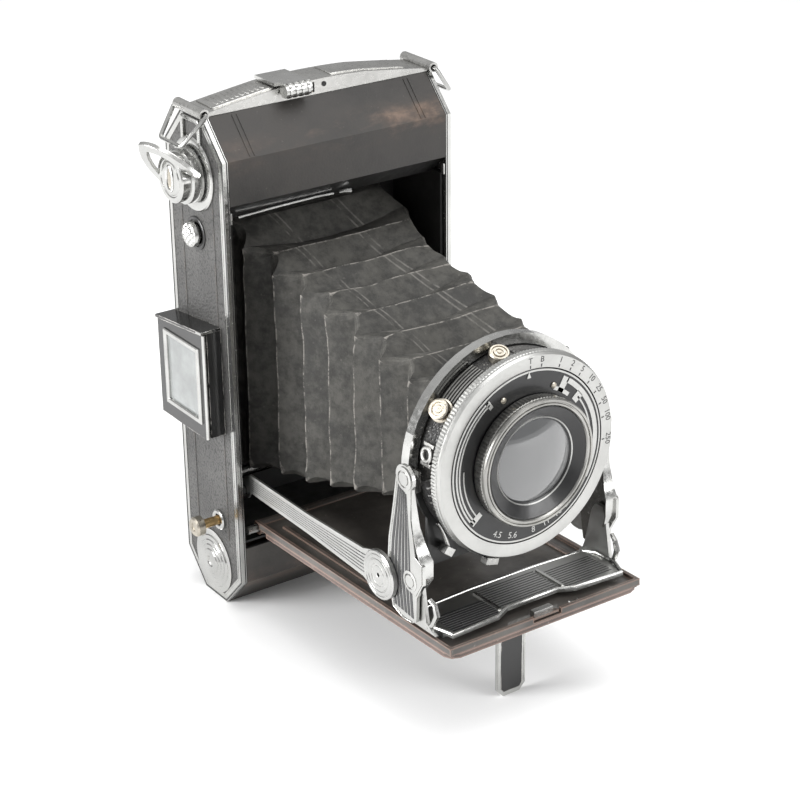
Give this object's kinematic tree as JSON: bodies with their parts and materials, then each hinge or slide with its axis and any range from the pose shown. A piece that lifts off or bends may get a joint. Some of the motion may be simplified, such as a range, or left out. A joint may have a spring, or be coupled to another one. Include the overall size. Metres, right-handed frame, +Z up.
{
  "type": "folding camera",
  "caption": "Vintage folding roll-film camera with an opening bed, bellows, self-erecting lens standard, folding finder and hinged back.",
  "frame": {"origin": "middle of the body's bottom end face, which the camera stands on", "axes": "+Z up along the body, -Y the way the lens looks, +X to the right as seen from the front"},
  "size_m": [0.1091, 0.1391, 0.1681],
  "materials": {
    "chrome": "polished, lightly worn",
    "nickel": "satin nickel",
    "brass": "worn nickel over brass",
    "black_enamel": "gloss black, chipped at edges",
    "black_metal": "matt black",
    "leather": "pebbled black, worn",
    "cover_leather": "smooth black, rubbed brown at edges",
    "bellows_leather": "dull charcoal, folded",
    "glass": "coated lens glass",
    "ruby_glass": "red window",
    "spool_wood": "dark spool wood"
  },
  "bodies": {
    "body": {"left_side_panel": "nickel", "left_side_leather": "leather", "right_side_panel": "nickel", "right_side_leather": "leather", "tripod_bush": "nickel", "upper_front_cover": "black_metal", "upper_cover_leather": "cover_leather", "lower_front_cover": "black_metal", "lower_cover_leather": "cover_leather", "film_gate_frame": "black_metal", "top_plate": "chrome", "winding_escutcheon": "chrome", "lower_spool_cap": "chrome", "finder_base": "black_enamel", "bed_hinge_pin": "nickel", "bellows": "bellows_leather"},
    "upper_roller": {"upper_film_roller": "nickel"},
    "lower_roller": {"lower_film_roller": "nickel"},
    "latch": {"back_latch": "chrome"},
    "left_loop": {"left_handle_loop": "chrome"},
    "right_loop": {"right_handle_loop": "chrome"},
    "winder": {"winding_hub": "chrome", "take_up_spool": "spool_wood"},
    "winder_wing": {"winding_wing": "chrome"},
    "supply": {"supply_spool": "spool_wood"},
    "pull_knob": {"spool_pull_knob": "brass"},
    "button": {"release_button": "chrome"},
    "finder_front": {"finder_front_frame": "black_enamel", "finder_front_lens": "glass"},
    "finder_rear": {"finder_rear_frame": "black_enamel", "finder_rear_lens": "glass"},
    "bed": {"bed_plate": "black_enamel", "bed_leather": "cover_leather", "bed_latch_tongue": "nickel", "standard_crossplate": "chrome"},
    "foot": {"foot": "chrome"},
    "struts": {"left_strut": "chrome", "right_strut": "chrome"},
    "legs": {"left_leg": "chrome", "right_leg": "chrome"},
    "standard": {"lens_board": "black_metal", "standard_arch": "chrome", "shutter_case": "black_enamel", "shutter_face_plate": "black_enamel", "shutter_blades": "black_metal", "rear_lens_cell": "black_metal", "rear_lens": "glass"},
    "speed_dial": {"speed_ring": "nickel"},
    "focus": {"focusing_ring": "nickel", "front_lens": "glass"},
    "cocking": {"cocking_lever": "nickel"},
    "release": {"release_lever": "chrome"},
    "aperture": {"aperture_lever": "nickel"},
    "back": {"back_cover": "black_metal", "back_leather": "leather", "ruby_window": "ruby_glass", "pressure_plate": "black_metal"},
    "window_slide": {"window_cover": "nickel"}
  },
  "joints": [
    {"name": "bed_fold", "type": "hinge", "parent": "body", "child": "bed", "pos_m": [0, -0.0162, 0.029], "axis": [-1, 0, 0], "range_deg": [0, 87.8], "deforming": ["bellows"]},
    {"name": "leg_fold", "type": "hinge", "parent": "bed", "child": "legs", "pos_m": [0, -0.1026, 0.0497], "axis": [-1, 0, 0], "range_deg": [0, 85.3]},
    {"name": "standard_fold", "type": "hinge", "parent": "legs", "child": "standard", "pos_m": [0, -0.1001, 0.0809], "axis": [-1, 0, 0], "range_deg": [-173.1, 0]},
    {"name": "strut_fold", "type": "hinge", "parent": "body", "child": "struts", "pos_m": [0, -0.0129, 0.042], "axis": [-1, 0, 0], "range_deg": [0, 87.1]},
    {"name": "foot_fold", "type": "hinge", "parent": "bed", "child": "foot", "pos_m": [0, -0.103, 0.0303], "axis": [1, 0, 0], "range_deg": [0, 86]},
    {"name": "back_open", "type": "hinge", "parent": "body", "child": "back", "pos_m": [0, 0.0166, 0.0122], "axis": [-1, 0, 0], "range_deg": [0, 90]},
    {"name": "window_open", "type": "slide", "parent": "back", "child": "window_slide", "axis": [0, 0, 1], "range_m": [0, 0.012]},
    {"name": "winding_turn", "type": "hinge", "parent": "body", "child": "winder", "pos_m": [-0.044, 0, 0.1435], "axis": [-1, 0, 0], "continuous": true},
    {"name": "supply_turn", "type": "hinge", "parent": "body", "child": "supply", "pos_m": [0, 0, 0.0125], "axis": [1, 0, 0], "continuous": true},
    {"name": "wing_flip", "type": "hinge", "parent": "winder", "child": "winder_wing", "pos_m": [-0.0507, 0, 0.1435], "axis": [0, -0.9553, 0.2955], "range_deg": [-12, 55]},
    {"name": "upper_roller_turn", "type": "hinge", "parent": "body", "child": "upper_roller", "pos_m": [0, 0.0116, 0.1278], "axis": [1, 0, 0], "continuous": true},
    {"name": "lower_roller_turn", "type": "hinge", "parent": "body", "child": "lower_roller", "pos_m": [0, 0.0116, 0.0346], "axis": [1, 0, 0], "continuous": true},
    {"name": "latch_slide", "type": "slide", "parent": "body", "child": "latch", "axis": [1, 0, 0], "range_m": [0, 0.005]},
    {"name": "left_loop_swing", "type": "hinge", "parent": "body", "child": "left_loop", "pos_m": [-0.041, 0, 0.1634], "axis": [0, 1, 0], "range_deg": [-6, 130]},
    {"name": "right_loop_swing", "type": "hinge", "parent": "body", "child": "right_loop", "pos_m": [0.041, 0, 0.1634], "axis": [0, -1, 0], "range_deg": [-6, 130]},
    {"name": "pull_knob_push", "type": "slide", "parent": "body", "child": "pull_knob", "axis": [1, 0, 0], "range_m": [0, 0.004]},
    {"name": "button_press", "type": "slide", "parent": "body", "child": "button", "axis": [1, 0, 0], "range_m": [0, 0.001], "stiffness_N_per_m": 400},
    {"name": "finder_front_open", "type": "hinge", "parent": "body", "child": "finder_front", "pos_m": [-0.047, -0.0109, 0.0785], "axis": [0, 0, 1], "range_deg": [0, 90]},
    {"name": "finder_rear_open", "type": "hinge", "parent": "body", "child": "finder_rear", "pos_m": [-0.0428, 0.015, 0.0775], "axis": [0, 0, -1], "range_deg": [0, 90]},
    {"name": "speed_dial_turn", "type": "hinge", "parent": "standard", "child": "speed_dial", "pos_m": [0, -0.108, 0.0813], "axis": [0, 1, 0], "range_deg": [0, 150]},
    {"name": "focus_turn", "type": "hinge", "parent": "standard", "child": "focus", "pos_m": [0, -0.112, 0.0813], "axis": [0, 1, 0], "range_deg": [0, 270]},
    {"name": "cocking_turn", "type": "hinge", "parent": "standard", "child": "cocking", "pos_m": [0, -0.1042, 0.0813], "axis": [0, 1, 0], "range_deg": [0, 30]},
    {"name": "release_press", "type": "hinge", "parent": "standard", "child": "release", "pos_m": [0, -0.1012, 0.0813], "axis": [0, 1, 0], "range_deg": [0, 10], "stiffness_Nm_per_rad": 0.05},
    {"name": "aperture_turn", "type": "hinge", "parent": "standard", "child": "aperture", "pos_m": [0, -0.1042, 0.0813], "axis": [0, -1, 0], "range_deg": [0, 50]}
  ],
  "couplings": [
    {"joint": "leg_fold", "follows": "bed_fold", "ratio": 0.9704},
    {"joint": "standard_fold", "follows": "bed_fold", "ratio": -1.9704},
    {"joint": "strut_fold", "follows": "bed_fold", "ratio": 0.9907},
    {"joint": "finder_rear_open", "follows": "finder_front_open", "ratio": 1}
  ]
}
